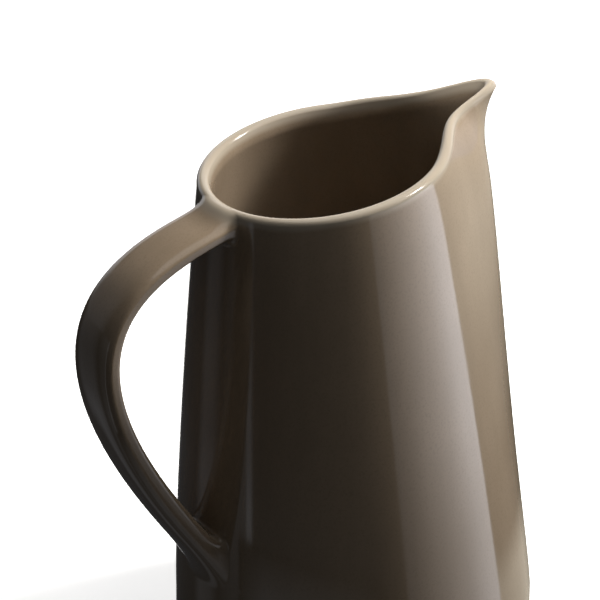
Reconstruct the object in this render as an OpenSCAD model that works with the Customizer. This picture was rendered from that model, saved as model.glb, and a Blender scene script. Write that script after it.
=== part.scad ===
// Glazed stoneware jug. A tall wall tapers from a round base to a round mouth,
// and its front is drawn out into a spout. A strap handle is luted to the back
// of the wall at both ends. The origin is the middle of the foot's underside,
// +X runs to the spout, -X to the handle and +Z is up.

/* [Base] */
// Outer diameter of the base
base_d = 157; // [146:1:165]
// Height of the base piece with its turned-up edge
base_h = 20; // [19:0.5:30]
// Thickness of the floor
floor_t = 7; // [5:0.5:8]
// Rounding of the outer lower edge
base_round = 8; // [4:0.5:12]
// Hollow rounding between the floor and the wall
cove = 8; // [4:0.5:9]
// Outer diameter of the bare foot ring
foot_d = 134; // [120:1:138]
// Width of the foot ring
foot_w = 7; // [4:0.5:12]
// Height of the foot ring
foot_h = 3; // [2:0.5:5]
// Bevel along both lower edges of the foot ring
foot_bevel = 0.8; // [0.4:0.1:1.5]

/* [Wall] */
// Height of the rim's shoulder over the middle of the mouth
rim_h = 222; // [190:1:250]
// Outer diameter of the round part of the rim
rim_d = 106; // [96:1:114]
// Thickness of the wall and of its lip
wall_t = 5.6; // [4.5:0.1:7]
// Height of the lip's rounded top over its shoulder
lip_h = 2.8; // [1.5:0.1:4]
// How much thicker the wall is below its lip
wall_gain = 1.6; // [0:0.1:2]
// Depth below the lip's shoulder over which it gains that
gain_h = 5; // [3:0.5:12]
// How far the middle of the mouth stands behind the middle of the base
rim_back = 16.9; // [0:0.1:20]

/* [Spout] */
// How far the spout's tip reaches past the round rim
spout_reach = 35.5; // [20:0.5:45]
// How far the channel in the spout reaches past the round mouth
channel_reach = 34.7; // [20:0.1:44]
// How far down the wall the spout's lip fades out
spout_fade = 10.5; // [6:0.5:20]
// How far down the inside the channel fades out
channel_fade = 16; // [8:0.5:24]
// How far the front keel stands out, extended up to the rim
keel_reach = 23.5; // [10:0.5:30]
// How far the hollow behind the keel reaches, extended up to the rim
hollow_reach = 15; // [8:0.5:20]
// Height that the rim gains from the handle's side to the spout's, over a run
rim_gain = 16; // [0:0.5:20]
// Run over which the rim gains that height
rim_run = 100; // [80:1:140]
// Extra lift of the rim at the spout
spout_lift = 4.2; // [0:0.1:8]
// Distance from the middle of the mouth at which that lift starts
lift_from = 29; // [15:1:40]
// Distance from the middle of the mouth at which that lift is full
lift_to = 58; // [45:1:80]

/* [Handle] */
// Depth of the strap's upper end below the middle of the rim
handle_drop = 12.8; // [11:0.1:25]
// How far the strap runs out before it turns down
handle_top_out = 47.3; // [40:0.1:60]
// How far the strap falls on that run
handle_top_fall = 10.5; // [4:0.5:20]
// Height of the strap's lower end
handle_low_h = 57.5; // [48:0.5:75]
// How far out the strap's lower stretch starts
handle_low_out = 91.6; // [75:0.1:100]
// How far the strap comes down on its lower stretch
handle_low_rise = 116; // [95:1:125]
// Width of the strap at its upper end
strap_w_top = 28.4; // [24:0.1:34]
// Width of the strap at its lower end
strap_w_low = 29.2; // [26:0.1:38]
// Thickness of the strap at its upper end
strap_t_top = 6.9; // [5.5:0.1:7.5]
// Thickness of the strap at its lower end
strap_t_low = 11.5; // [8:0.1:13]

/* [Joints] */
// How far the upper joint runs along the strap
upper_run = 11; // [6:0.5:16]
// How far the upper joint spreads to both sides
upper_side = 1.3; // [1:0.1:5]
// How far the upper joint spreads up over the lip, and down the wall
upper_spread = 5.5; // [3:0.1:5.8]
// How far the lower joint runs along the strap
lower_run = 19; // [17:0.5:26]
// How far the lower joint spreads to both sides
lower_side = 4; // [2:0.5:7]
// How far the lower joint spreads up and down the wall
lower_spread = 6; // [3:0.5:9]

/* [Hidden] */

glaze = [0.37, 0.32, 0.27];
bare_clay = [0.71, 0.62, 0.52];

base_r = base_d / 2;
rim_r = rim_d / 2;
foot_r = foot_d / 2;
wall_h = rim_h - base_h;
floor_z = foot_h + floor_t;

// Angles, in degrees from the spout, that set how wide a swelling is
// and how blunt its crest is
spout_width = 7.7;
spout_blunt = 0.6;
channel_width = 8.6;
channel_blunt = 0.01;
keel_width = 13.8;
keel_blunt = 16;
hollow_width = 11;
hollow_blunt = 12.5;

// Angle at which the lip's rounding ends on its inner side
lip_end = 150;

// Exponent of the wall's taper, and of the spacing of the points round a ring
taper_share = 1.2;
crowd_share = 1.5;
ring_share = 2;

wall_rings = 14;
lip_steps = 6;
around = 80;
strap_rings = 26;
section_points = 28;
joint_steps = 5;
seat_steps = 3;
cap_steps = 3;
arc_steps = 8;
turned_fn = 160;

// Flatness of the strap's section on its outer and its inner face, and how
// full the fillets of both joints are: on the outer face and on the others
outer_share = 5.5;
inner_share = 2.8;
upper_full_shares = [0.4, 0.92];
lower_full_shares = [0.62, 0.62];
corner_share = 8;
slope_share = 0.05;

/* Swellings of the outline */

function bell(a, width, blunt) = 1 / (1 + pow((sqrt(a * a + blunt * blunt) - blunt) / width, 2));

function swell(a, width, blunt) =
    (bell(a, width, blunt) - bell(180, width, blunt)) / (1 - bell(180, width, blunt));

function ease(s) = let (c = max(0, min(1, s))) c * c * (3 - 2 * c);

/* Rim height and wall radii: a is the angle, t the share of the wall's height */

function rim_x(a) = (rim_r - wall_t / 2 + spout_reach * swell(a, spout_width, spout_blunt)) * cos(a);

function rim_z(a) = let (x = rim_x(a))
    rim_h + x * rim_gain / rim_run + spout_lift * ease((x - lift_from) / (lift_to - lift_from));

function fade(t, depth) = exp(-(1 - t) * wall_h / depth);

function edge(t) = pow(1 - min(1, (1 - t) * wall_h / gain_h), 2);

function outer_r(a, t) = let (f = fade(t, spout_fade)) base_r + (rim_r - base_r) * pow(t, taper_share)
    + keel_reach * t * (1 - f) * swell(a, keel_width, keel_blunt)
    + spout_reach * f * swell(a, spout_width, spout_blunt);

function inner_r(a, t) = let (f = fade(t, channel_fade))
    base_r - wall_t - wall_gain * t * (1 - edge(t)) + (rim_r - base_r) * pow(t, taper_share)
    + hollow_reach * t * (1 - f) * swell(a, hollow_width, hollow_blunt)
    + channel_reach * f * swell(a, channel_width, channel_blunt);

function ring_point(a, t, r) =
    [r * cos(a) - rim_back * t, r * sin(a), base_h + t * (rim_z(a) - base_h)];

function ring_angle(i) = let (s = 2 * i / around - 1) 180 * sign(s) * pow(abs(s), crowd_share);

function ring_share_at(k) = 1 - pow(1 - k / wall_rings, ring_share);

function lip_point(a, turn) =
    let (mid = (outer_r(a, 1) + inner_r(a, 1)) / 2, half = (outer_r(a, 1) - inner_r(a, 1)) / 2)
    ring_point(a, 1, mid + half * cos(turn)) + [0, 0, lip_h * sin(turn)];

function inner_point(a, t) = let (half = (outer_r(a, 1) - inner_r(a, 1)) / 2)
    ring_point(a, t, inner_r(a, t) + half * (1 + cos(lip_end)) * edge(t))
    + [0, 0, lip_h * sin(lip_end) * edge(t)];

/* Faces of a grid of points: rows of equal closed rings */

function quad(a, b, c, d) = [[a, b, c], [a, c, d]];

function band_faces(rows, cols, closed) = [
    for (i = [0 : rows - (closed ? 1 : 2)], j = [0 : cols - 1])
        let (k = (i + 1) % rows, m = (j + 1) % cols)
        each quad(i * cols + j, k * cols + j, k * cols + m, i * cols + m)
];

/* The wall's outer surface near the handle: y across, h along the profile,
   where h is 0 at the lip's shoulder and runs over the lip above it */

function back_angle(y, t) = 180 - asin(y / outer_r(180, t));

function back_t(y, h) = let (rim = rim_z(back_angle(y, 1))) (rim + min(h, 0) - base_h) / (rim - base_h);

function back_point(y, h) =
    let (t = back_t(y, h), a = back_angle(y, t), turn = max(h, 0) / lip_h * 180 / PI)
    ring_point(a, t, outer_r(a, t) - wall_t / 2 * (1 - cos(turn))) + [0, 0, lip_h * sin(turn)];

/* Centre line of the strap: a cubic curve from wall to wall */

top_h = rim_h - handle_drop - rim_z(180);
low_h = handle_low_h - rim_z(180);
top_end = [back_point(0, top_h).x, rim_h - handle_drop];
low_end = [back_point(0, low_h).x, handle_low_h];
top_arm = [-handle_top_out, -handle_top_fall];
low_arm = [-handle_low_out, handle_low_rise];

function line_point(t) = pow(1 - t, 3) * top_end + 3 * pow(1 - t, 2) * t * (top_end + top_arm)
    + 3 * (1 - t) * t * t * (low_end + low_arm) + pow(t, 3) * low_end;

function line_run(t) = pow(1 - t, 2) * top_arm + 2 * (1 - t) * t * (low_end + low_arm - top_end - top_arm)
    - t * t * low_arm;

function line_dir(t) = line_run(t) / norm(line_run(t));

function strap_w(t) = strap_w_top + (strap_w_low - strap_w_top) * pow(t, 3);

function strap_t(t) = strap_t_top + (strap_t_low - strap_t_top) * pow(t, 2);

/* Section of the strap: a flat oval, u across and v through it, both -1 to 1 */

function section(j) = let (a = 360 * j / section_points, flat = sin(a) > 0 ? outer_share : inner_share)
    [for (s = [cos(a), sin(a)]) sign(s) * pow(abs(s), 2 / flat)];

function strap_point(t, j) =
    let (c = line_point(t), d = line_dir(t), s = section(j), v = s[1] * strap_t(t) / 2)
    [c[0] - d[1] * v, s[0] * strap_w(t) / 2, c[1] + d[0] * v];

upper_t = upper_run / (3 * norm(top_arm));
lower_t = 1 - lower_run / (3 * norm(low_arm));

function strap_at(k) = upper_t + (lower_t - upper_t) * k / strap_rings;

/* Seats: where the strap's long edges, run on straight, meet the wall.
   A seat is kept as its place on the wall, y and h */

function seat_h(p, d, h) = p.z - rim_z(back_angle(p.y, 1))
    + (back_point(p.y, h).x - p.x) * d[1] / d[0];

function seat(t, end_t, j) =
    let (p = strap_point(t, j), d = line_dir(end_t), first = p.z - rim_z(180))
    [p.y, seat_h(p, d, seat_h(p, d, seat_h(p, d, first)))];

function seat_mid(t, end_t) = let (a = seat(t, end_t, 0), b = seat(t, end_t, section_points / 2))
    (a + b) / 2;

function upper_seat(j) = seat(upper_t, upper_t, j);
function lower_seat(j) = seat(lower_t, lower_t, j);

function seat_ring(seats, mid, share) =
    [for (s = seats) let (q = mid + (s - mid) * share) back_point(q[0], q[1])];

upper_seats = [for (j = [0 : section_points - 1]) upper_seat(j)];
lower_seats = [for (j = [0 : section_points - 1]) lower_seat(j)];
upper_mid = seat_mid(upper_t, upper_t);
lower_mid = seat_mid(lower_t, lower_t);

/* A joint's fillet from the strap to the wall, for one point of the section */

function bezier(a, b, c, d, s) = pow(1 - s, 3) * a + 3 * pow(1 - s, 2) * s * b
    + 3 * (1 - s) * s * s * c + pow(s, 3) * d;

function spread_place(s, spread, j, share) =
    let (q = section(j)) s + share * [spread[0] * q[0], spread[1] * q[1]];

function wall_at(q) = back_point(q[0], q[1]);

function fillet(p, s, spread, shares, j) =
    let (full = shares[1] + (shares[0] - shares[1]) * pow(max(0, section(j)[1]), corner_share),
         foot = wall_at(s),
         rim = wall_at(spread_place(s, spread, j, 1)),
         near = wall_at(spread_place(s, spread, j, 1 - slope_share)),
         from_strap = p + (foot - p) * full,
         from_wall = rim - (rim - near) / slope_share * full)
    [for (k = [0 : joint_steps]) bezier(p, from_strap, from_wall, rim, k / joint_steps)];

function joint_loop(t, s, spread, shares, j) = concat(
    fillet(strap_point(t, j), s, spread, shares, j),
    [for (k = [1 : seat_steps - 1]) wall_at(spread_place(s, spread, j, 1 - k / seat_steps))],
    [wall_at(s)]);

function joint_points(t, seats, spread, shares) = [
    for (j = [0 : section_points - 1]) each joint_loop(t, seats[j], spread, shares, j)
];

joint_loop_points = joint_steps + seat_steps + 1;

function turned(faces) = [for (f = faces) [f[2], f[1], f[0]]];

/* The pieces */

module body_wall() {
    angles = [for (i = [0 : around - 1]) ring_angle(i)];
    outer = [for (k = [0 : wall_rings], a = angles)
        let (t = ring_share_at(k)) ring_point(a, t, outer_r(a, t))];
    lip = [for (k = [1 : lip_steps - 1], a = angles) lip_point(a, lip_end * k / lip_steps)];
    inner = [for (k = [0 : wall_rings], a = angles)
        inner_point(a, ring_share_at(wall_rings - k))];
    rows = 2 * (wall_rings + 1) + lip_steps - 1;
    color(glaze)
        polyhedron(points = concat(outer, lip, inner), faces = band_faces(rows, around, true));
}

module base() {
    inside_r = base_r - wall_t;
    outline = concat(
        [[0, foot_h]],
        [for (k = [0 : arc_steps]) let (a = 90 * k / arc_steps)
            [base_r - base_round + base_round * sin(a), foot_h + base_round - base_round * cos(a)]],
        [[base_r, base_h], [inside_r, base_h]],
        [for (k = [0 : arc_steps]) let (a = 90 * k / arc_steps)
            [inside_r - cove + cove * cos(a), floor_z + cove - cove * sin(a)]],
        [[0, floor_z]]);
    color(glaze)
        rotate_extrude($fn = turned_fn)
            polygon(outline);
}

module foot_ring() {
    inside_r = foot_r - foot_w;
    color(bare_clay)
        rotate_extrude($fn = turned_fn)
            polygon([
                [inside_r + foot_bevel, 0],
                [foot_r - foot_bevel, 0],
                [foot_r, foot_bevel],
                [foot_r, foot_h],
                [inside_r, foot_h],
                [inside_r, foot_bevel]]);
}

module handle() {
    shares = [for (k = [1 : cap_steps]) k / cap_steps];
    upper_cap = [for (s = shares) each seat_ring(upper_seats, upper_mid, s)];
    strap = [for (k = [0 : strap_rings], j = [0 : section_points - 1]) strap_point(strap_at(k), j)];
    lower_cap = [for (k = [cap_steps : -1 : 1]) each seat_ring(lower_seats, lower_mid, k / cap_steps)];
    rows = 2 * cap_steps + strap_rings + 1;
    last = rows * section_points;
    ends = [for (j = [0 : section_points - 1]) let (m = (j + 1) % section_points)
        each [[last, j, m], [last + 1, last - section_points + m, last - section_points + j]]];
    color(glaze)
        polyhedron(
            points = concat(upper_cap, strap, lower_cap, [wall_at(upper_mid), wall_at(lower_mid)]),
            faces = concat(band_faces(rows, section_points, false), ends));
}

module joint(t, seats, spread, shares) {
    faces = band_faces(section_points, joint_loop_points, true);
    color(glaze)
        polyhedron(points = joint_points(t, seats, spread, shares), faces = spread[1] < 0 ? faces : turned(faces));
}

module upper_joint() {
    joint(upper_t, upper_seats, [upper_side, -upper_spread], upper_full_shares);
}

module lower_joint() {
    joint(lower_t, lower_seats, [lower_side, lower_spread], lower_full_shares);
}

body_wall();
base();
foot_ring();
handle();
upper_joint();
lower_joint();
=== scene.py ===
import math

import bpy
import numpy as np
from bpy.props import FloatProperty, FloatVectorProperty, PointerProperty
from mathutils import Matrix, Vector


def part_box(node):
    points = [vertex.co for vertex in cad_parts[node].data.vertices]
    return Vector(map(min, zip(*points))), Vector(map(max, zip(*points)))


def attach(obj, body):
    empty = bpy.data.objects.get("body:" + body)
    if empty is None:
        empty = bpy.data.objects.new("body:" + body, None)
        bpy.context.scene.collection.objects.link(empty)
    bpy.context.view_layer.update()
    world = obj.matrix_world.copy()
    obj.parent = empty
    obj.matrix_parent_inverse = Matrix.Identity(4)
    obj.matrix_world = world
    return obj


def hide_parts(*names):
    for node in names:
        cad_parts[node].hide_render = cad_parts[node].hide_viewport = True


bl_info = {
    "name": "Stoneware Jug",
    "version": (1, 0, 0),
    "blender": (4, 5, 0),
    "location": "View3D > Sidebar > Jug",
    "description": "Builds a glazed stoneware jug with a drawn spout and a strap handle",
    "category": "Add Mesh",
}

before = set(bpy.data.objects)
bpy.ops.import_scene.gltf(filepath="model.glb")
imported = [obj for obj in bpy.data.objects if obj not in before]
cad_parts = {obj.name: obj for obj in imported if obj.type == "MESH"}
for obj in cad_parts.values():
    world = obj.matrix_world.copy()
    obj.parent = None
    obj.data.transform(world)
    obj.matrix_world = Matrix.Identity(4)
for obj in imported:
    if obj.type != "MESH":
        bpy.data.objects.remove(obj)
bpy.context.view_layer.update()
BODY = "root"
MM = 0.001
HALF_TURN = math.pi
QUARTER_TURN = math.pi / 2


# Settings that a user would change

def length(name, description, millimetres):
    return FloatProperty(
        name=name, description=description, default=millimetres * MM, unit="LENGTH", subtype="DISTANCE",
        precision=5)


def angle(name, description, degrees):
    return FloatProperty(
        name=name, description=description, default=math.radians(degrees), unit="ROTATION", subtype="ANGLE")


def share(name, description, value):
    return FloatProperty(name=name, description=description, default=value, subtype="FACTOR", min=0.0)


def number(name, description, value):
    return FloatProperty(name=name, description=description, default=value, min=0.0)


def colour(name, description, value):
    return FloatVectorProperty(
        name=name, description=description, default=value, size=3, subtype="COLOR", min=0.0, max=1.0)


class JugWallSettings(bpy.types.PropertyGroup):
    """Sizes of the thrown body: base, wall, lip and spout"""
    base_r: length("Base radius", "Outer radius of the base", 78.5)
    base_h: length("Base height", "Height at which the wall starts to taper", 20)
    floor_z: length("Floor height", "Height of the floor inside the jug", 10)
    heel_r: length("Heel", "Rounding of the outer lower edge", 8)
    cove_r: length("Cove", "Hollow rounding between the floor and the wall", 8)
    rim_r: length("Rim radius", "Outer radius of the round part of the rim", 53)
    rim_h: length("Rim height", "Height of the rim's shoulder over the middle of the mouth", 222)
    rim_back: length("Rim set-back", "How far the mouth stands behind the base", 16.9)
    wall_t: length("Wall", "Thickness of the wall and of its lip", 5.6)
    lip_h: length("Lip", "Height of the lip's rounded top over its shoulder", 2.8)
    taper: number("Taper", "Exponent of the wall's taper", 1.2)
    slope: share("Rim slope", "Rise of the rim towards the spout", 0.16)
    lift: length("Spout lift", "Extra lift of the rim at the spout", 4.2)
    lift_from: length("Lift start", "Distance from the middle of the mouth at which the lift starts", 29)
    lift_to: length("Lift end", "Distance from the middle of the mouth at which the lift is full", 58)
    spout_reach: length("Spout reach", "How far the spout's tip reaches past the round rim", 35.5)
    channel_reach: length("Channel reach", "How far the channel reaches past the round mouth", 34.7)
    fade_h: length("Spout fade", "How far down the wall the spout's lip fades out", 10.5)
    channel_fade_h: length("Channel fade", "How far down the inside the pouring channel fades out", 16)
    ease: length("Ease", "How much thicker the wall is below its lip", 1.6)
    ease_h: length("Ease height", "Depth over which the wall thickens below its lip", 5)
    keel_reach: length("Keel reach", "How far the front keel stands out, extended up to the rim", 23.5)
    hollow_reach: length(
        "Hollow reach", "How far the hollow behind the keel reaches, extended up to the rim", 15)
    lip_end: angle("Lip end", "How far the lip's rounding runs over to the inside", 150)
    spout_width: angle("Spout width", "Half width of the spout's tip", 7.7)
    spout_blunt: angle("Spout bluntness", "Roundness of the spout's tip", 0.6)
    channel_width: angle("Channel width", "Half width of the pouring channel", 8.6)
    channel_blunt: angle("Channel bluntness", "Roundness of the pouring channel", 0.01)
    keel_width: angle("Keel width", "Half width of the front keel", 13.8)
    keel_blunt: angle("Keel bluntness", "Roundness of the front keel", 16)
    hollow_width: angle("Hollow width", "Half width of the hollow behind the keel", 11.0)
    hollow_blunt: angle("Hollow bluntness", "Roundness of the hollow behind the keel", 12.5)


class JugHandleSettings(bpy.types.PropertyGroup):
    """Sizes of the strap handle and of the clay that lutes it to the wall"""
    drop: length("Upper end", "Depth of the strap's upper end below the middle of the rim", 12.8)
    top_out: length("Upper run", "How far the strap runs out before it turns down", 47.3)
    top_fall: length("Upper fall", "How far the strap falls on that run", 10.5)
    low_h: length("Lower end", "Height of the strap's lower end", 57.5)
    low_out: length("Lower run", "How far out the strap's lower stretch starts", 91.6)
    low_rise: length("Lower rise", "How far the strap comes down on its lower stretch", 116)
    width_top: length("Upper width", "Width of the strap at its upper end", 28.4)
    width_low: length("Lower width", "Width of the strap at its lower end", 29.2)
    thick_top: length("Upper thickness", "Thickness of the strap at its upper end", 6.9)
    thick_low: length("Lower thickness", "Thickness of the strap at its lower end", 11.5)
    upper_run: length("Upper joint", "How far the upper joint runs along the strap", 11)
    upper_side: length("Upper joint's sides", "How far the upper joint spreads to both sides", 1.3)
    upper_spread: length(
        "Upper joint's spread", "How far the upper joint spreads over the lip and down the wall", 5.5)
    lower_run: length("Lower joint", "How far the lower joint runs along the strap", 19)
    lower_side: length("Lower joint's sides", "How far the lower joint spreads to both sides", 4)
    lower_spread: length("Lower joint's spread", "How far the lower joint spreads up and down the wall", 6)
    flatness: number("Flatness", "Exponent of the flat oval section on the strap's outer face", 5.5)
    inner_flatness: number("Inner flatness", "The same on its inner face", 2.8)
    upper_fullness: share(
        "Upper fullness", "How full the upper joint's fillet is on the strap's outer face", 0.4)
    side_fullness: share("Side fullness", "The same on the other faces", 0.92)
    lower_fullness: share("Lower fullness", "How full the lower joint's fillets are", 0.62)


class JugFootSettings(bpy.types.PropertyGroup):
    """Sizes of the bare foot ring"""
    outer_r: length("Foot radius", "Outer radius of the foot ring", 67)
    width: length("Foot width", "Width of the foot ring", 7)
    height: length("Foot height", "Height of the foot ring", 3)
    bevel: length("Foot bevel", "Rounding of both lower edges", 0.8)


class JugFinishSettings(bpy.types.PropertyGroup):
    """Colours of the fired glaze and of the bare clay"""
    glaze: colour("Glaze", "Main colour of the glaze", (0.283, 0.219, 0.156))
    glaze_deep: colour("Pooled glaze", "Colour where the glaze lies thick", (0.220, 0.168, 0.116))
    glaze_thin: colour("Thin glaze", "Colour where the glaze breaks over an edge", (0.385, 0.333, 0.264))
    clay: colour("Clay", "Colour of the bare stoneware", (0.46, 0.35, 0.25))
    clay_dark: colour("Iron spots", "Colour of the iron spots in the clay", (0.16, 0.10, 0.065))


class JugStageSettings(bpy.types.PropertyGroup):
    """Camera, floor and light"""
    azimuth: angle("Azimuth", "Direction of the camera round the jug", -34)
    elevation: angle("Elevation", "Height of the camera over the horizon", 26)
    distance: length("Distance", "Distance from the camera to the middle of the jug", 1737.6)
    lens: FloatProperty(name="Lens", description="Focal length of the camera", default=240.0, unit="CAMERA")
    aim_h: length("Aim height", "Height of the point on the jug's axis that the framing is counted from", 111)
    aim_side: length("Aim to the side", "How far to the right of that point the picture's middle is", -23.74)
    aim_up: length("Aim up", "How far above that point the picture's middle is", 40.58)
    floor_r: length("Floor", "Radius of the floor", 9000)
    side_height: length("Side softbox", "Height of the softbox at the side", 200)
    key_azimuth: angle("Key azimuth", "Direction of the key light round the jug, from the spout", -19)
    key_elevation: angle("Key elevation", "Height of the key light over the horizon", 49)
    key_distance: length("Key distance", "Distance of the key light from the jug", 1000)
    key_size: length("Key size", "Side of the square key light", 240)
    key_strength: number("Key strength", "Strength of the key light, where 1 is white", 80)


# Formulas that work on numbers, on arrays and on the sockets of a node tree

class Field:
    """A socket of a node tree that Python's operators calculate with"""

    def __init__(self, tree, socket):
        self.tree = tree
        self.socket = socket

    def __add__(self, other):
        return calculate("ADD", self, other)

    def __radd__(self, other):
        return calculate("ADD", other, self)

    def __sub__(self, other):
        return calculate("SUBTRACT", self, other)

    def __rsub__(self, other):
        return calculate("SUBTRACT", other, self)

    def __mul__(self, other):
        return calculate("MULTIPLY", self, other)

    def __rmul__(self, other):
        return calculate("MULTIPLY", other, self)

    def __truediv__(self, other):
        return calculate("DIVIDE", self, other)

    def __rtruediv__(self, other):
        return calculate("DIVIDE", other, self)

    def __pow__(self, other):
        return calculate("POWER", self, other)

    def __rpow__(self, other):
        return calculate("POWER", other, self)


def calculate(operation, *values):
    tree = next(value.tree for value in values if isinstance(value, Field))
    node = tree.nodes.new("ShaderNodeMath")
    node.operation = operation
    for socket, value in zip(node.inputs, values):
        plug(tree, socket, value)
    return Field(tree, node.outputs[0])


def plug(tree, socket, value):
    """Links a Field to a socket, or sets the socket to a plain value"""
    if isinstance(value, Field):
        tree.links.new(value.socket, socket)
    else:
        socket.default_value = value


def formula(operation, on_numbers):
    """A function of one value that also works on a Field"""
    return lambda value: calculate(operation, value) if isinstance(value, Field) else on_numbers(value)


sine = formula("SINE", np.sin)
cosine = formula("COSINE", np.cos)
exponential = formula("EXPONENT", np.exp)
size_of = formula("ABSOLUTE", np.abs)
sign_of = formula("SIGN", np.sign)


def least(value, limit):
    return calculate("MINIMUM", value, limit) if isinstance(value, Field) else np.minimum(value, limit)


def most(value, limit):
    return calculate("MAXIMUM", value, limit) if isinstance(value, Field) else np.maximum(value, limit)


def eased(value):
    """0 below 0, 1 above 1 and a smooth step between"""
    held = most(least(value, 1.0), 0.0)
    return held * held * (3.0 - 2.0 * held)


def bell(turn, width, blunt):
    """1 at the crest, and falling off to both sides"""
    return 1.0 / (1.0 + (((turn * turn + blunt * blunt) ** 0.5 - blunt) / width) ** 2.0)


def swell(turn, width, blunt):
    """A bell that is 1 at the spout and 0 at the handle"""
    far = bell(width * 0.0 + HALF_TURN, width, blunt)
    return (bell(turn, width, blunt) - far) / (1.0 - far)


class WallForm:
    """Shape of the body. turn is the angle from the spout, rise the share of the wall's height"""

    def __init__(self, sizes):
        for name, value in sizes.items():
            setattr(self, name, value)

    def rim_x(self, turn):
        swelling = self.spout_reach * swell(turn, self.spout_width, self.spout_blunt)
        return (self.rim_r - self.wall_t / 2.0 + swelling) * cosine(turn)

    def level(self, x):
        """Height of the rim's shoulder at x from the middle of the mouth"""
        lifted = eased((x - self.lift_from) / (self.lift_to - self.lift_from))
        return self.rim_h + x * self.slope + self.lift * lifted

    def rim_z(self, turn):
        return self.level(self.rim_x(turn))

    def fade(self, rise, depth):
        """1 at the rim, and fading out over this depth below it"""
        return exponential((rise - 1.0) * (self.rim_h - self.base_h) / depth)

    def edge(self, rise):
        """1 at the rim, and 0 where the wall has its full thickness inside"""
        left = 1.0 - least((1.0 - rise) * (self.rim_h - self.base_h) / self.ease_h, 1.0)
        return left * left

    def round_r(self, rise):
        return self.base_r + (self.rim_r - self.base_r) * rise ** self.taper

    def outer_r(self, turn, rise):
        fade = self.fade(rise, self.fade_h)
        keel = self.keel_reach * rise * (1.0 - fade) * swell(turn, self.keel_width, self.keel_blunt)
        spout = self.spout_reach * fade * swell(turn, self.spout_width, self.spout_blunt)
        return self.round_r(rise) + keel + spout

    def inner_r(self, turn, rise):
        fade = self.fade(rise, self.channel_fade_h)
        keel = self.hollow_reach * rise * (1.0 - fade) * swell(turn, self.hollow_width, self.hollow_blunt)
        channel = self.channel_reach * fade * swell(turn, self.channel_width, self.channel_blunt)
        thick = self.wall_t + self.ease * rise * (1.0 - self.edge(rise))
        return self.round_r(rise) - thick + keel + channel

    def point(self, turn, rise, radius):
        height = self.base_h + rise * (self.rim_z(turn) - self.base_h)
        return radius * cosine(turn) - self.rim_back * rise, radius * sine(turn), height

    def lip_point(self, turn, over):
        outer = self.outer_r(turn, 1.0)
        inner = self.inner_r(turn, 1.0)
        radius = (outer + inner) / 2.0 + (outer - inner) / 2.0 * cosine(over)
        x, y, z = self.point(turn, 1.0, radius)
        return x, y, z + self.lip_h * sine(over)

    def inside_point(self, turn, rise):
        edge = self.edge(rise)
        half = (self.outer_r(turn, 1.0) - self.inner_r(turn, 1.0)) / 2.0
        radius = self.inner_r(turn, rise) + half * (1.0 + cosine(self.lip_end)) * edge
        x, y, z = self.point(turn, rise, radius)
        return x, y, z + self.lip_h * sine(self.lip_end) * edge


# Node trees

GRID_SIZE = 1.0


def new_tree(name, kind, inputs, outputs):
    """A node group with its input and output nodes. inputs and outputs map a name to a socket type"""
    tree = bpy.data.node_groups.new(name, kind)
    for label, socket_type in inputs.items():
        tree.interface.new_socket(label, in_out="INPUT", socket_type=socket_type)
    for label, socket_type in outputs.items():
        tree.interface.new_socket(label, in_out="OUTPUT", socket_type=socket_type)
    entry = tree.nodes.new("NodeGroupInput")
    leave = tree.nodes.new("NodeGroupOutput")
    fields = {label: Field(tree, entry.outputs[label]) for label in inputs}
    return tree, fields, leave


def add_node(tree, kind, inputs=None, **settings):
    """A node with its settings, and its inputs linked or set"""
    node = tree.nodes.new(kind)
    for name, value in settings.items():
        setattr(node, name, value)
    for socket, value in (inputs or {}).items():
        plug(tree, node.inputs[socket], value)
    return node


def out(node, socket=0):
    return Field(node.id_data, node.outputs[socket])


def vector(tree, x, y, z):
    return out(add_node(tree, "ShaderNodeCombineXYZ", {"X": x, "Y": y, "Z": z}))


def strip(tree, around, rows, place):
    """A grid of points put on a surface: place gives the point for the shares round and along it"""
    grid = add_node(tree, "GeometryNodeMeshGrid", {
        "Size X": GRID_SIZE, "Size Y": GRID_SIZE, "Vertices X": around, "Vertices Y": rows})
    flat = out(add_node(tree, "GeometryNodeInputPosition"))
    split = add_node(tree, "ShaderNodeSeparateXYZ", {"Vector": flat})
    x, y, z = place(out(split, "X") + GRID_SIZE / 2.0, out(split, "Y") + GRID_SIZE / 2.0)
    moved = add_node(tree, "GeometryNodeSetPosition", {
        "Geometry": out(grid, "Mesh"), "Position": vector(tree, x, y, z)})
    return out(moved, "Geometry")


def finish_surface(tree, leave, strips, weld, material):
    """Joins the strips, welds their seams and poles, and ends the tree with its material"""
    joined = add_node(tree, "GeometryNodeJoinGeometry")
    for part in strips:
        tree.links.new(part.socket, joined.inputs["Geometry"])
    welded = add_node(tree, "GeometryNodeMergeByDistance", {"Geometry": out(joined), "Distance": weld})
    smooth = add_node(tree, "GeometryNodeSetShadeSmooth", {"Geometry": out(welded)})
    real = add_node(tree, "GeometryNodeRealizeInstances", {"Geometry": out(smooth)})
    painted = add_node(tree, "GeometryNodeSetMaterial", {"Geometry": out(real)})
    painted.inputs["Material"].default_value = material
    tree.links.new(painted.outputs["Geometry"], leave.inputs["Geometry"])


def surface_tree(name, settings):
    """A geometry tree with one input for each of these sizes"""
    inputs = {item: "NodeSocketFloat" for item in sizes_of(settings)}
    return new_tree(name, "GeometryNodeTree", inputs, {"Geometry": "NodeSocketGeometry"})


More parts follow.
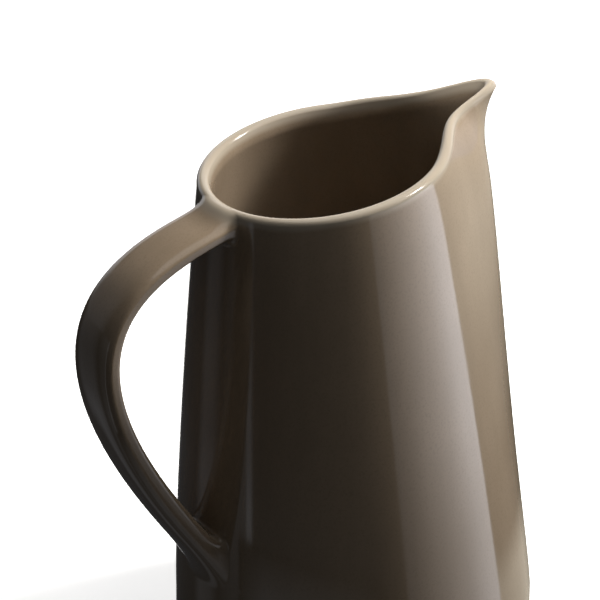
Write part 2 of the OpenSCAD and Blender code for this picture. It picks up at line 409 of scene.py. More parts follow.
def grow(name, tree, values):
    """Runs a tree on a new object and keeps the result as its plain mesh"""
    piece = bpy.data.objects.new(name, bpy.data.meshes.new(name))
    bpy.context.scene.collection.objects.link(piece)
    modifier = piece.modifiers.new(name, "NODES")
    modifier.node_group = tree
    for item in tree.interface.items_tree:
        if item.in_out == "INPUT" and item.name in values:
            modifier[item.identifier] = values[item.name]
    depsgraph = bpy.context.evaluated_depsgraph_get()
    mesh = bpy.data.meshes.new_from_object(piece.evaluated_get(depsgraph), depsgraph=depsgraph)
    if not mesh.vertices:
        raise RuntimeError(f"the node tree of {name} gave no mesh")
    piece.modifiers.clear()
    piece.data = mesh
    mesh.name = name
    return piece


def keep_piece(piece, slot, *nodes):
    """The piece rides on the jug's one body and stands for these nodes"""
    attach(piece, BODY)
    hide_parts(*nodes)


def sizes_of(settings):
    """The settings' lengths, angles and other numbers, by name"""
    return {name: getattr(settings, name) for name in settings.__annotations__}


# Body

BODY_AROUND = 361
BODY_ROWS = {
    "underside": 8, "heel": 14, "side": 8, "outside": 110, "lip": 21, "inside": 90, "lower_inside": 8,
    "cove": 14, "floor": 8}
SPOUT_CROWDING = 1.5
RIM_CROWDING = 2.0
SEAM_WELD = 0.001 * MM


def body_tree(settings, material):
    tree, sizes, leave = surface_tree("Jug body", settings)
    wall = WallForm(sizes)
    foot_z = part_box("base")[0].z
    inner_r = wall.base_r - wall.wall_t

    def turn_of(across):
        side = 2.0 * across - 1.0
        return HALF_TURN * sign_of(side) * size_of(side) ** SPOUT_CROWDING

    def ring(across, radius, height):
        turn = turn_of(across)
        return radius * cosine(turn), radius * sine(turn), height

    def underside(across, along):
        return ring(across, (wall.base_r - wall.heel_r) * along, foot_z)

    def heel(across, along):
        bend = along * QUARTER_TURN
        height = foot_z + wall.heel_r * (1.0 - cosine(bend))
        return ring(across, wall.base_r - wall.heel_r * (1.0 - sine(bend)), height)

    def side(across, along):
        low = wall.heel_r + foot_z
        return ring(across, wall.base_r, low + (wall.base_h - low) * along)

    def outside(across, along):
        turn = turn_of(across)
        rise = 1.0 - (1.0 - along) ** RIM_CROWDING
        return wall.point(turn, rise, wall.outer_r(turn, rise))

    def lip(across, along):
        return wall.lip_point(turn_of(across), along * wall.lip_end)

    def inside(across, along):
        return wall.inside_point(turn_of(across), 1.0 - along ** RIM_CROWDING)

    def lower_inside(across, along):
        bottom = wall.floor_z + wall.cove_r
        return ring(across, inner_r, wall.base_h + (bottom - wall.base_h) * along)

    def cove(across, along):
        bend = along * QUARTER_TURN
        height = wall.floor_z + wall.cove_r * (1.0 - sine(bend))
        return ring(across, inner_r - wall.cove_r * (1.0 - cosine(bend)), height)

    def floor(across, along):
        return ring(across, (inner_r - wall.cove_r) * (1.0 - along), wall.floor_z)

    places = (underside, heel, side, outside, lip, inside, lower_inside, cove, floor)
    strips = [strip(tree, BODY_AROUND, BODY_ROWS[place.__name__], place) for place in places]
    finish_surface(tree, leave, strips, SEAM_WELD, material)
    return tree


class JUG_OT_body(bpy.types.Operator):
    """Makes the thrown body: base, wall, lip and spout"""
    bl_idname = "jug.body"
    bl_label = "Body"

    def execute(self, context):
        settings = context.scene.jug_wall
        tree = body_tree(settings, bpy.data.materials["stoneware_glaze"])
        piece = grow("jug_body", tree, sizes_of(settings))
        keep_piece(piece, "glaze", "body_wall", "base")
        return {"FINISHED"}


# Handle

STRAP_RINGS = 150
SECTION_POINTS = 120
FILLET_RINGS = 30
FILLET_CROWDING = 1.5
FILLET_SLOPE = 0.02
SEAT_PASSES = 4
TUCK = 0.15 * MM
TUCK_SHARE = 1.05
EDGE = "edge"
CREASE_FROM = 0.78
CORNER_POWER = 8


class HandleForm:
    """Shape of the strap, its seats on the wall and the fillets between"""

    def __init__(self, wall, sizes):
        self.wall = wall
        for name, value in sizes.items():
            setattr(self, name, value)
        rim = wall.rim_z(HALF_TURN)
        top_z = wall.rim_h - self.drop
        self.top_end = np.array([self.wall_point(0.0, top_z - rim)[0], top_z])
        self.low_end = np.array([self.wall_point(0.0, self.low_h - rim)[0], self.low_h])
        self.top_arm = np.array([-self.top_out, -self.top_fall])
        self.low_arm = np.array([-self.low_out, self.low_rise])
        self.upper_t = self.upper_run / (3 * np.linalg.norm(self.top_arm))
        self.lower_t = 1 - self.lower_run / (3 * np.linalg.norm(self.low_arm))
        around = 2 * HALF_TURN * np.arange(SECTION_POINTS) / SECTION_POINTS
        flatness = np.where(np.sin(around) > 0, self.flatness, self.inner_flatness)
        self.across = np.sign(np.cos(around)) * np.abs(np.cos(around)) ** (2 / flatness)
        self.through = np.sign(np.sin(around)) * np.abs(np.sin(around)) ** (2 / flatness)

    def back_turn(self, y, rise):
        return HALF_TURN - np.arcsin(y / self.wall.outer_r(HALF_TURN, rise))

    def wall_point(self, y, height):
        """Point of the wall near the handle: y across, height along the profile from the lip's shoulder"""
        wall = self.wall
        rim = wall.rim_z(self.back_turn(y, 1.0))
        rise = (rim + np.minimum(height, 0) - wall.base_h) / (rim - wall.base_h)
        turn = self.back_turn(y, rise)
        over = np.maximum(height, 0) / wall.lip_h
        radius = wall.outer_r(turn, rise) - wall.wall_t / 2 * (1 - np.cos(over))
        x, across, z = wall.point(turn, rise, radius)
        return np.stack(np.broadcast_arrays(x, across, z + wall.lip_h * np.sin(over)), axis=-1)

    def line_point(self, t):
        a, b = self.top_end, self.top_end + self.top_arm
        c, d = self.low_end + self.low_arm, self.low_end
        return (1 - t) ** 3 * a + 3 * (1 - t) ** 2 * t * b + 3 * (1 - t) * t * t * c + t ** 3 * d

    def line_direction(self, t):
        a, b = self.top_end, self.top_end + self.top_arm
        c, d = self.low_end + self.low_arm, self.low_end
        run = (1 - t) ** 2 * (b - a) + 2 * (1 - t) * t * (c - b) + t * t * (d - c)
        return run / np.linalg.norm(run)

    def ring(self, t):
        """Points of the strap's section at the share t of its line"""
        centre, run = self.line_point(t), self.line_direction(t)
        width = self.width_top + (self.width_low - self.width_top) * t ** 3
        depth = self.through * (self.thick_top + (self.thick_low - self.thick_top) * t ** 2) / 2
        return np.stack([
            centre[0] - run[1] * depth, self.across * width / 2, centre[1] + run[0] * depth], axis=-1)

    def seat(self, t):
        """Where the strap's long edges, run on straight, meet the wall: y and height for each"""
        ring, run = self.ring(t), self.line_direction(t)
        height = ring[:, 2] - self.wall.rim_z(HALF_TURN)
        shoulder = self.wall.rim_z(self.back_turn(ring[:, 1], 1.0))
        for _ in range(SEAT_PASSES):
            reach = self.wall_point(ring[:, 1], height)[:, 0] - ring[:, 0]
            height = ring[:, 2] - shoulder + reach * run[1] / run[0]
        return ring[:, 1], height

    def fillet(self, t, side, along, fullness):
        """Rings from the strap down to the wall, and one tucked under the wall's surface"""
        ring = self.ring(t)
        y, height = self.seat(t)

        def spread(share):
            return self.wall_point(y + share * side * self.across, height + share * along * self.through)

        foot, rim, near = spread(0), spread(1), spread(1 - FILLET_SLOPE)
        from_strap = ring + (foot - ring) * fullness
        from_wall = rim - (rim - near) / FILLET_SLOPE * fullness
        rings = []
        for step in range(1, FILLET_RINGS + 1):
            s = 1 - (1 - step / FILLET_RINGS) ** FILLET_CROWDING
            rings.append((1 - s) ** 3 * ring + 3 * (1 - s) ** 2 * s * from_strap
                         + 3 * (1 - s) * s * s * from_wall + s ** 3 * rim)
        rings.append(spread(TUCK_SHARE) + np.array([TUCK, 0.0, 0.0]))
        return rings

    def rings(self):
        outer = np.maximum(self.through, 0)[:, None] ** CORNER_POWER
        top_fullness = self.side_fullness + (self.upper_fullness - self.side_fullness) * outer
        upper = self.fillet(self.upper_t, self.upper_side, -self.upper_spread, top_fullness)
        lower = self.fillet(self.lower_t, self.lower_side, self.lower_spread, self.lower_fullness)
        shares = np.linspace(self.upper_t, self.lower_t, STRAP_RINGS)
        return upper[::-1] + [self.ring(t) for t in shares] + lower


class JUG_OT_handle(bpy.types.Operator):
    """Makes the strap handle with the clay that lutes both its ends to the wall"""
    bl_idname = "jug.handle"
    bl_label = "Handle"

    def execute(self, context):
        wall = WallForm(sizes_of(context.scene.jug_wall))
        form = HandleForm(wall, sizes_of(context.scene.jug_handle))
        rings = form.rings()
        faces = []
        for row in range(len(rings) - 1):
            here, ahead = row * SECTION_POINTS, (row + 1) * SECTION_POINTS
            for column in range(SECTION_POINTS):
                beside = (column + 1) % SECTION_POINTS
                faces.append((here + column, ahead + column, ahead + beside, here + beside))
        last = (len(rings) - 1) * SECTION_POINTS
        faces.append(tuple(range(SECTION_POINTS)))
        faces.append(tuple(last + column for column in reversed(range(SECTION_POINTS))))
        mesh = bpy.data.meshes.new("jug_handle")
        mesh.from_pydata(np.concatenate(rings).tolist(), [], faces)
        corner = np.minimum(np.abs(form.across), np.abs(form.through))
        crease = np.clip((corner - CREASE_FROM) / (corner.max() - CREASE_FROM), 0, 1)
        edge = mesh.attributes.new(EDGE, "FLOAT", "POINT")
        edge.data.foreach_set("value", np.tile(crease, len(rings)))
        mesh.validate()
        mesh.shade_smooth()
        mesh.materials.append(bpy.data.materials["stoneware_glaze"])
        piece = bpy.data.objects.new("jug_handle", mesh)
        context.scene.collection.objects.link(piece)
        keep_piece(piece, "glaze", "handle", "upper_joint", "lower_joint")
        return {"FINISHED"}


# Foot ring

FOOT_AROUND = 241
FOOT_ROWS = {"inner_side": 6, "inner_edge": 8, "sole": 6, "outer_edge": 8, "outer_side": 6, "top": 6}


def foot_tree(settings, material):
    tree, sizes, leave = surface_tree("Foot ring", settings)
    outer_r, width, height, bevel = (sizes[name] for name in ("outer_r", "width", "height", "bevel"))
    inner_r = outer_r - width

    def ring(across, radius, level):
        turn = HALF_TURN * (2.0 * across - 1.0)
        return radius * cosine(turn), radius * sine(turn), level

    def inner_side(across, along):
        return ring(across, inner_r, height + (bevel - height) * along)

    def inner_edge(across, along):
        bend = along * QUARTER_TURN
        return ring(across, inner_r + bevel * (1.0 - cosine(bend)), bevel * (1.0 - sine(bend)))

    def sole(across, along):
        return ring(across, inner_r + bevel + (width - 2.0 * bevel) * along, 0.0)

    def outer_edge(across, along):
        bend = along * QUARTER_TURN
        return ring(across, outer_r - bevel * (1.0 - sine(bend)), bevel * (1.0 - cosine(bend)))

    def outer_side(across, along):
        return ring(across, outer_r, bevel + (height - bevel) * along)

    def top(across, along):
        return ring(across, outer_r - width * along, height)

    places = (inner_side, inner_edge, sole, outer_edge, outer_side, top)
    strips = [strip(tree, FOOT_AROUND, FOOT_ROWS[place.__name__], place) for place in places]
    finish_surface(tree, leave, strips, SEAM_WELD, material)
    return tree


class JUG_OT_foot(bpy.types.Operator):
    """Makes the bare foot ring that the jug stands on"""
    bl_idname = "jug.foot"
    bl_label = "Foot ring"

    def execute(self, context):
        settings = context.scene.jug_foot
        tree = foot_tree(settings, bpy.data.materials["bare_stoneware"])
        piece = grow("jug_foot", tree, sizes_of(settings))
        keep_piece(piece, "bare_clay", "foot_ring")
        return {"FINISHED"}


# Materials

# Places of the two colours and of their mix among the Mix node's sockets
MIX_LOW = 6
MIX_HIGH = 7
MIX_RESULT = 2

# What each shared pattern gives, and the middle span of a noise
PATTERN ={"Colour": "NodeSocketColor", "Roughness": "NodeSocketFloat", "Height": "NodeSocketFloat"}
MIDDLE = (0.3, 0.7)

# Glaze on the lip: how deep below its crest it is thin, and how far that wanders
RIM_FULL = 2.0 * MM
RIM_NONE = 5.0 * MM
RIM_WANDER = 2.0 * MM
RIM_MARGIN = 6.0 * MM

# Glaze: the scale of each pattern, and how far it shows
CLOUD_SCALE = 22.0
CLOUD_PART = 0.6
TONE_SHARE = 0.6
RUN_SCALE = 90.0
RUN_STRETCH = (1.0, 1.0, 0.12)
GRAIN_SCALE = 1000.0
GRAIN_RANGE = (0.45, 0.75)
GRAIN_SHARE = 0.55
EDGE_SHARE = 0.3
PEEL_SCALE = 260.0
PEEL_SHARE = 0.3
SLACK_SCALE = 45.0
PIMPLE_SCALE = 42.0
PIMPLE_RADIUS = 0.045
PIMPLE_RANGE = (0.86, 0.9)
PIMPLE_SHARE = 6.0
GLAZE_ROUGHNESS = (0.07, 0.11)
GLAZE_RELIEF = 0.02 * MM

# Clay: the same
SAND_SCALE = 900.0
SAND_RANGE = (0.2, 0.8)
SPOT_SCALE = 420.0
SPOT_RANGE = (0.66, 0.72)
STAIN_SCALE = 60.0
STAIN_SHARE = 0.22
CLAY_ROUGHNESS = (0.62, 0.85)
CLAY_RELIEF = 0.12 * MM


def noise(tree, point, scale, detail=2.0, roughness=0.5, stretch=None):
    """Noise from 0 to 1 over the piece, with features of about 1 / scale metres"""
    if stretch:
        point = out(add_node(tree, "ShaderNodeMapping", {"Vector": point, "Scale": stretch}))
    node = add_node(tree, "ShaderNodeTexNoise", {
        "Vector": point, "Scale": scale, "Detail": detail, "Roughness": roughness})
    return out(node, "Fac")


def mix_colour(tree, factor, low, high):
    node = add_node(tree, "ShaderNodeMix", data_type="RGBA")
    plug(tree, node.inputs["Factor"], factor)
    plug(tree, node.inputs[MIX_LOW], low)
    plug(tree, node.inputs[MIX_HIGH], high)
    return out(node, MIX_RESULT)


def ranged(tree, value, span, result=(0.0, 1.0)):
    """A smooth step over the span, from the first to the second result"""
    node = add_node(tree, "ShaderNodeMapRange", {
        "Value": value, "From Min": span[0], "From Max": span[1], "To Min": result[0], "To Max": result[1]},
        interpolation_type="SMOOTHSTEP")
    return out(node, "Result")


def rim_share(tree, wall, point, cloud):
    """1 on the lip, and falling off down the wall on both sides of it and on the strap"""
    split = add_node(tree, "ShaderNodeSeparateXYZ", {"Vector": point})
    x, y, z = (out(split, axis) for axis in "XYZ")
    crest = wall.level(most(x + wall.rim_back, -wall.rim_r)) + wall.lip_h
    depth = crest - z + (cloud - 0.5) * RIM_WANDER
    rim_end = -wall.rim_r - wall.rim_back
    off_strap = ranged(tree, x, (rim_end - RIM_MARGIN, rim_end))
    return (1.0 - ranged(tree, depth, (RIM_FULL, RIM_NONE))) * off_strap


def glaze_group(wall):
    """Colour, roughness and relief of a fired glaze"""
    tree, given, leave = new_tree("Fired glaze", "ShaderNodeTree", {
        "Point": "NodeSocketVector", "Edge": "NodeSocketFloat", "Glaze": "NodeSocketColor",
        "Pooled": "NodeSocketColor", "Thin": "NodeSocketColor", "Cloud": "NodeSocketFloat"}, PATTERN)
    point = given["Point"]
    cloud = noise(tree, point, CLOUD_SCALE, detail=3.0, roughness=0.55)
    run = noise(tree, point, RUN_SCALE, stretch=RUN_STRETCH)
    grain = noise(tree, point, GRAIN_SCALE, roughness=0.6)
    tone = ranged(tree, cloud * CLOUD_PART + run * (1.0 - CLOUD_PART), MIDDLE) * given["Cloud"]
    colour = mix_colour(tree, tone, given["Glaze"], given["Pooled"])
    speck = ranged(tree, grain, GRAIN_RANGE, (0.0, GRAIN_SHARE))
    colour = mix_colour(tree, speck, colour, given["Pooled"])
    thin = most(rim_share(tree, wall, point, cloud), given["Edge"] * EDGE_SHARE)
    colour = mix_colour(tree, thin, colour, given["Thin"])
    peel = noise(tree, point, PEEL_SCALE, detail=1.0, roughness=0.4)
    slack = noise(tree, point, SLACK_SCALE, detail=1.0, roughness=0.4)
    cell = add_node(tree, "ShaderNodeTexVoronoi", {
        "Vector": point, "Scale": PIMPLE_SCALE, "Randomness": 1.0})
    pick = out(add_node(tree, "ShaderNodeSeparateColor", {"Color": out(cell, "Color")}), "Red")
    dome = 1.0 - ranged(tree, out(cell, "Distance"), (0.0, PIMPLE_RADIUS))
    pimple = dome * ranged(tree, pick, PIMPLE_RANGE)
    plug(tree, leave.inputs["Colour"], colour)
    plug(tree, leave.inputs["Roughness"], ranged(tree, cloud, MIDDLE, GLAZE_ROUGHNESS))
    plug(tree, leave.inputs["Height"], peel * PEEL_SHARE + slack + pimple * PIMPLE_SHARE)
    return tree


def clay_group():
    """Colour, roughness and relief of bare fired clay with iron spots"""
    tree, given, leave = new_tree("Bare clay", "ShaderNodeTree", {
        "Point": "NodeSocketVector", "Clay": "NodeSocketColor", "Spots": "NodeSocketColor"}, PATTERN)
    point = given["Point"]
    sand = noise(tree, point, SAND_SCALE, detail=4.0, roughness=0.7)
    spots = ranged(tree, noise(tree, point, SPOT_SCALE, detail=1.0, roughness=0.4), SPOT_RANGE)
    stain = ranged(tree, noise(tree, point, STAIN_SCALE, detail=3.0), MIDDLE, (0.0, STAIN_SHARE))
    colour = mix_colour(tree, spots, given["Clay"], given["Spots"])
    colour = mix_colour(tree, stain, colour, given["Spots"])
    plug(tree, leave.inputs["Colour"], colour)
    plug(tree, leave.inputs["Roughness"], ranged(tree, sand, SAND_RANGE, CLAY_ROUGHNESS))
    plug(tree, leave.inputs["Height"], sand)
    return tree


def rgba(value):
    return (*value, 1.0)


def empty_material(name):
    """A material whose tree is still to be filled, and that tree"""
    material = bpy.data.materials.new(name)
    material.use_nodes = True
    material.node_tree.nodes.clear()
    return material, material.node_tree


def show(tree, shader, output="ShaderNodeOutputMaterial"):
    """Ends a material's or the world's tree with this shader"""
    tree.links.new(shader.outputs[0], add_node(tree, output).inputs["Surface"])


def new_material(name, coat, relief):
    """A material with one Principled BSDF, whose colour, roughness and height come from coat's node"""
    tree = empty_material(name)[1]
    pattern = coat(tree, out(add_node(tree, "ShaderNodeTexCoord"), "Object"))
    bump = add_node(tree, "ShaderNodeBump", {
        "Height": out(pattern, "Height"), "Strength": 1.0, "Distance": relief})
    show(tree, add_node(tree, "ShaderNodeBsdfPrincipled", {
        "Base Color": out(pattern, "Colour"), "Roughness": out(pattern, "Roughness"),
        "Normal": out(bump, "Normal")}))


class JUG_OT_finishes(bpy.types.Operator):
    """Makes the glaze and the bare clay"""
    bl_idname = "jug.finishes"
    bl_label = "Finishes"

    def execute(self, context):
        finish = context.scene.jug_finish
        glaze = glaze_group(WallForm(sizes_of(context.scene.jug_wall)))
        clay = clay_group()

        def glazed(tree, point):
            edge = out(add_node(tree, "ShaderNodeAttribute", attribute_name=EDGE), "Fac")
            return add_node(tree, "ShaderNodeGroup", {
                "Point": point, "Edge": edge, "Glaze": rgba(finish.glaze), "Thin": rgba(finish.glaze_thin),
                "Pooled": rgba(finish.glaze_deep), "Cloud": TONE_SHARE}, node_tree=glaze)

        def bare(tree, point):
            return add_node(tree, "ShaderNodeGroup", {
                "Point": point, "Clay": rgba(finish.clay), "Spots": rgba(finish.clay_dark)}, node_tree=clay)

        new_material("stoneware_glaze", glazed, GLAZE_RELIEF)
        new_material("bare_stoneware", bare, CLAY_RELIEF)
        return {"FINISHED"}


# Stage

WHITE = (1.0, 1.0, 1.0)
FLOOR_GREY = (0.8, 0.8, 0.8)
FLOOR_GLOW = 0.75
WORLD_LIGHT = 0.045
GLOW = "glow"
SIDE_TINT = (0.96, 0.98, 1.05)
BACK_TINT = (1.0, 0.93, 0.78)
KEY_TINT = (1.0, 0.97, 0.93)

# Sweeps: how finely they turn, and where their mats and cards lie and stand, in metres
SWEEP_STEP = 1.0
MAT_START = 0.075
MAT_REACH = 0.42
MAT_LIFT = 0.0005
BEND_HEIGHT = 0.07
OVER_HEIGHT = 0.36
FADED_HEIGHT = 0.6
DARK_HEIGHT = 1.1

# Strength of the sweeps, by the plan angle in degrees that the wall mirrors
SIDE_GLOW = (
    (-86, 0.5), (-79, 0.6), (-71, 0.9), (-64, 1.3), (-56, 1.75), (-49, 2.2), (-41, 2.8), (-34, 3.5),
    (-26, 4.2), (-14, 4.2))
BACK_GLOW = ((-14, 1.2), (4, 1.15), (28, 0.9), (41, 0.4), (56, 0.25), (70, 0.1))
FAR_GLOW = ((-290, 1.0), (-265, 1.0), (-250, 0.22), (-225, 0.22), (-215, 0.05), (-60, 0.05))
NEAR_GLOW = ((-200, 0.02), (-180, 0.3), (-120, 0.3), (-100, 0.02))
OVER_GLOW = ((-60, 0.05), (-14, 0.3), (10, 1.0), (70, 1.0))
HIGH_GLOW = ((-14, 0.05), (35, 0.1), (56, 1.0), (70, 1.0))
FAR_HIGH_GLOW = ((-290, 0.2), (-265, 0.1), (-250, 0.22), (-225, 0.22), (-215, 0.05), (-60, 0.05))
DARK_GLOW = (
    (-290, 0.1), (-280, 0.04), (-246, 0.04), (-238, 0.17), (-227, 0.17), (-219, 0.04), (-206, 0.14),
    (-194, 0.18), (-193, 0.55), (-190, 0.55), (-188, 0.06), (-86, 0.04))

# Mats: share of that strength, by the distance from the wall
SIDE_MAT = ((0.0, 0.5), (0.2, 0.6), (MAT_REACH, 0.85))
BACK_MAT = ((0.0, 0.9), (0.1, 0.9), (0.15, 0.12), (0.24, 0.12), (0.3, 0.25), (MAT_REACH, 0.4))
DARK_MAT = ((0.0, 0.5), (0.2, 1.0), (0.28, 0.7), (MAT_REACH, 0.65))
NEAR_MAT = ((0.0, 0.6), (0.07, 1.0), (0.16, 0.05))

# High cards: the same, by the height
HIGH_CARD = ((OVER_HEIGHT, 1.0), (FADED_HEIGHT, 0.1), (DARK_HEIGHT, 0.05))

# Softboxes: direction and height in degrees, side, strength, and whether only reflections see them
FILLS = (
    ("top_softbox", -40.0, 70.0, 0.5, 5.6, False),
    ("front_softbox", -115.0, 25.0, 0.7, 0.11, False),
    ("glint_softbox", -36.0, 43.0, 0.22, 38.0, True),
    ("fill_softbox", 58.0, 35.0, 0.6, 1.6, False))


def background_share(tree):
    """1 for the camera and for reflections, which see the background, and 0 for the light on the object"""
    rays = add_node(tree, "ShaderNodeLightPath")
    seen = out(rays, "Is Camera Ray") + out(rays, "Is Glossy Ray") + out(rays, "Is Transmission Ray")
    return least(seen, 1.0)


def floor_material():
    """A matt floor that the camera and reflections see as a white background, with its shadows kept"""
    material, tree = empty_material("pale_floor")
    seen = background_share(tree)
    matt = add_node(tree, "ShaderNodeBsdfDiffuse", {"Color": rgba(FLOOR_GREY)})
    glow = add_node(tree, "ShaderNodeEmission", {"Color": rgba(WHITE), "Strength": seen * FLOOR_GLOW})
    both = add_node(tree, "ShaderNodeAddShader")
    tree.links.new(matt.outputs[0], both.inputs[0])
    tree.links.new(glow.outputs[0], both.inputs[1])
    below = out(add_node(tree, "ShaderNodeNewGeometry"), "Backfacing")
    clear = add_node(tree, "ShaderNodeBsdfTransparent")
    pick = add_node(tree, "ShaderNodeMixShader", {"Fac": below})
    tree.links.new(both.outputs[0], pick.inputs[1])
    tree.links.new(clear.outputs[0], pick.inputs[2])
    show(tree, pick)
    return material


def lamp_material(name, tint, strength=None):
    """Light of this strength, or of the strength that the piece's own points carry"""
    material, tree = empty_material(name)
    if strength is None:
        strength = out(add_node(tree, "ShaderNodeAttribute", attribute_name=GLOW), "Fac")
    show(tree, add_node(tree, "ShaderNodeEmission", {"Color": rgba(tint), "Strength": strength}))
    return material


def stage_piece(name, points, faces, material):
    """A piece of the stage, which is no part of the jug"""
    mesh = bpy.data.meshes.new(name)
    mesh.from_pydata([tuple(point) for point in points], [], faces)
    mesh.materials.append(material)
    piece = bpy.data.objects.new(name, mesh)
    bpy.context.scene.collection.objects.link(piece)
    return piece


def lying(parts, lift=MAT_LIFT):
    """Cross-section of a mat, from its distances from the wall and the shares there"""
    return [(reach, lift, part) for reach, part in parts]


def standing(parts):
    """Cross-section of a card at the mats' outer edge, from its heights and the shares there"""
    return [(MAT_REACH, height, part) for height, part in parts]


def sweep(name, stations, view, rows, tint):
    """A mat or card that bends round the jug, and that only the glaze's reflections see.
    view is the plan direction to the camera, and each row a distance from the wall, a height and a share"""
    angles = np.arange(stations[0][0], stations[-1][0] + SWEEP_STEP / 2, SWEEP_STEP)
    levels = np.interp(angles, [station[0] for station in stations], [station[1] for station in stations])
    points, faces, glow = [], [], []
    for degrees, level in zip(angles, levels):
        turn = math.radians(degrees)
        normal = (turn + view) / 2
        for reach, height, part in rows:
            points.append((
                MAT_START * math.cos(normal) + reach * math.cos(turn),
                MAT_START * math.sin(normal) + reach * math.sin(turn), height))
            glow.append(level * part)
    across = len(rows)
    for column in range(len(angles) - 1):
        for row in range(across - 1):
            first = column * across + row
            faces.append((first, first + across, first + across + 1, first + 1))
    piece = stage_piece(name, points, faces, lamp_material(name, tint))
    piece.data.attributes.new(GLOW, "FLOAT", "POINT").data.foreach_set("value", glow)
    piece.visible_camera = False
    piece.visible_shadow = False
    piece.visible_transmission = False
    piece.visible_diffuse = False


def softbox(name, settings, turn, rise, size, strength, mirrored):
    """A square softbox that faces the jug from the direction turn and the height rise.
    A mirrored one is seen by reflections alone, and any other lights the jug and is missing from them"""
    toward = Vector((math.cos(turn) * math.cos(rise), math.sin(turn) * math.cos(rise), math.sin(rise)))
    side = Vector((-math.sin(turn), math.cos(turn), 0.0))
    up = toward.cross(side)
    middle = Vector((0.0, 0.0, settings.aim_h)) + toward * settings.key_distance
    half = size / 2
    corners = [middle + side * x * half + up * y * half for x, y in ((-1, -1), (1, -1), (1, 1), (-1, 1))]
    lamp = stage_piece(name, corners, [(0, 1, 2, 3)], lamp_material(name, KEY_TINT, strength))
    lamp.visible_camera = False
    lamp.visible_glossy = mirrored
    lamp.visible_diffuse = not mirrored


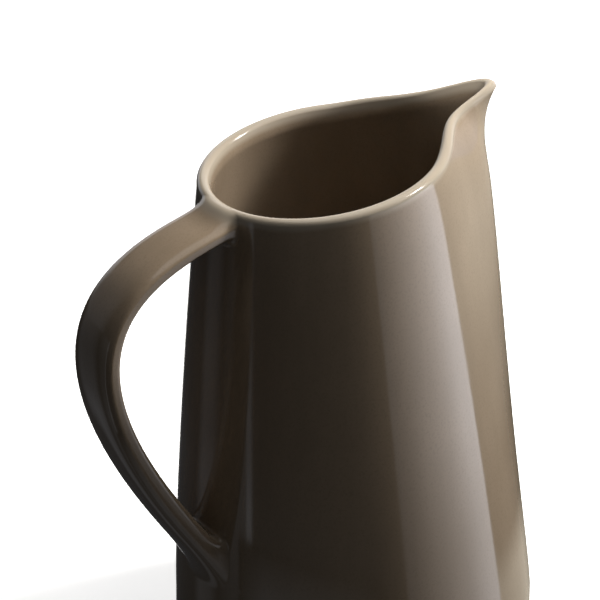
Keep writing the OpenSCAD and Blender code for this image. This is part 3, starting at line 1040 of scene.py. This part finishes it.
class JUG_OT_stage(bpy.types.Operator):
    """Makes the floor, the light and the camera"""
    bl_idname = "jug.stage"
    bl_label = "Stage"

    def execute(self, context):
        settings = context.scene.jug_stage
        r = settings.floor_r
        corners = [(-r, -r, 0), (r, -r, 0), (r, r, 0), (-r, r, 0)]
        floor = stage_piece("floor", corners, [(0, 1, 2, 3)], floor_material())
        floor.visible_diffuse = False
        self.light(context, settings)
        self.camera(context, settings)
        context.scene.view_settings.view_transform = "Standard"
        return {"FINISHED"}

    def light(self, context, settings):
        world = bpy.data.worlds.new("studio")
        context.scene.world = world
        world.use_nodes = True
        tree = world.node_tree
        tree.nodes.clear()
        level = WORLD_LIGHT + (1.0 - WORLD_LIGHT) * background_share(tree)
        sky = add_node(tree, "ShaderNodeBackground", {"Color": rgba(WHITE), "Strength": level})
        show(tree, sky, "ShaderNodeOutputWorld")

        view = settings.azimuth - QUARTER_TURN
        high = settings.side_height
        side_low = standing(((MAT_LIFT, 0.85), (BEND_HEIGHT, 1.0), (high, 1.0)))
        back_low = standing(((MAT_LIFT, 0.4), (BEND_HEIGHT, 1.0), (high, 1.0)))
        dark_low = standing(((MAT_LIFT, 0.65), (BEND_HEIGHT, 0.65), (high, 1.0)))
        over = standing(((high, 1.0), (OVER_HEIGHT, 1.0)))
        above = standing(HIGH_CARD)
        near = lying(NEAR_MAT, 2 * MAT_LIFT)
        sweep("side_softbox", SIDE_GLOW, view, side_low, SIDE_TINT)
        sweep("back_softbox", BACK_GLOW, view, back_low, BACK_TINT)
        sweep("card_over", OVER_GLOW, view, over, SIDE_TINT)
        sweep("side_mat", SIDE_GLOW, view, lying(SIDE_MAT), SIDE_TINT)
        sweep("back_mat", BACK_GLOW, view, lying(BACK_MAT), BACK_TINT)
        sweep("dark_mat", DARK_GLOW, view, lying(DARK_MAT), SIDE_TINT)
        sweep("near_mat", NEAR_GLOW, view, near, SIDE_TINT)
        sweep("dark_card", DARK_GLOW, view, dark_low, SIDE_TINT)
        sweep("card_far", FAR_GLOW, view, over, SIDE_TINT)
        sweep("high_far", FAR_HIGH_GLOW, view, above, SIDE_TINT)
        sweep("high_back", HIGH_GLOW, view, above, SIDE_TINT)
        softbox(
            "key_softbox", settings, settings.key_azimuth, settings.key_elevation, settings.key_size,
            settings.key_strength, False)
        for name, turn, rise, size, strength, mirrored in FILLS:
            softbox(name, settings, math.radians(turn), math.radians(rise), size, strength, mirrored)

    def camera(self, context, settings):
        back = Vector((
            math.sin(settings.azimuth) * math.cos(settings.elevation),
            -math.cos(settings.azimuth) * math.cos(settings.elevation),
            math.sin(settings.elevation)))
        right = Vector((math.cos(settings.azimuth), math.sin(settings.azimuth), 0.0))
        up = back.cross(right)
        target = Vector((0.0, 0.0, settings.aim_h))
        data = bpy.data.cameras.new("camera")
        data.lens = settings.lens
        data.clip_end = 2 * settings.floor_r
        camera = bpy.data.objects.new("camera", data)
        context.scene.collection.objects.link(camera)
        camera.location = target + back * settings.distance
        aim = target + right * settings.aim_side + up * settings.aim_up
        camera.rotation_mode = "QUATERNION"
        camera.rotation_quaternion = (aim - camera.location).to_track_quat("-Z", "Y")
        context.scene.camera = camera


class JUG_PT_panel(bpy.types.Panel):
    """Lists the jug's settings and the steps that build it"""
    bl_idname = "JUG_PT_panel"
    bl_label = "Stoneware jug"
    bl_space_type = "VIEW_3D"
    bl_region_type = "UI"
    bl_category = "Jug"

    def draw(self, context):
        for operator in OPERATORS:
            self.layout.operator(operator.bl_idname)
        for name in SETTINGS:
            settings = getattr(context.scene, name)
            box = self.layout.box()
            for item in settings.__annotations__:
                box.prop(settings, item)


SETTINGS = {
    "jug_wall": JugWallSettings,
    "jug_handle": JugHandleSettings,
    "jug_foot": JugFootSettings,
    "jug_finish": JugFinishSettings,
    "jug_stage": JugStageSettings,
}
OPERATORS = (JUG_OT_finishes, JUG_OT_body, JUG_OT_handle, JUG_OT_foot, JUG_OT_stage)
CLASSES = (*SETTINGS.values(), *OPERATORS, JUG_PT_panel)


def register():
    for item in CLASSES:
        bpy.utils.register_class(item)
    for name, group in SETTINGS.items():
        setattr(bpy.types.Scene, name, PointerProperty(type=group))


def unregister():
    for name in SETTINGS:
        delattr(bpy.types.Scene, name)
    for item in reversed(CLASSES):
        bpy.utils.unregister_class(item)


def main():
    register()
    bpy.ops.jug.finishes()
    bpy.ops.jug.body()
    bpy.ops.jug.handle()
    bpy.ops.jug.foot()
    bpy.ops.jug.stage()


if __name__ == "__main__":
    main()
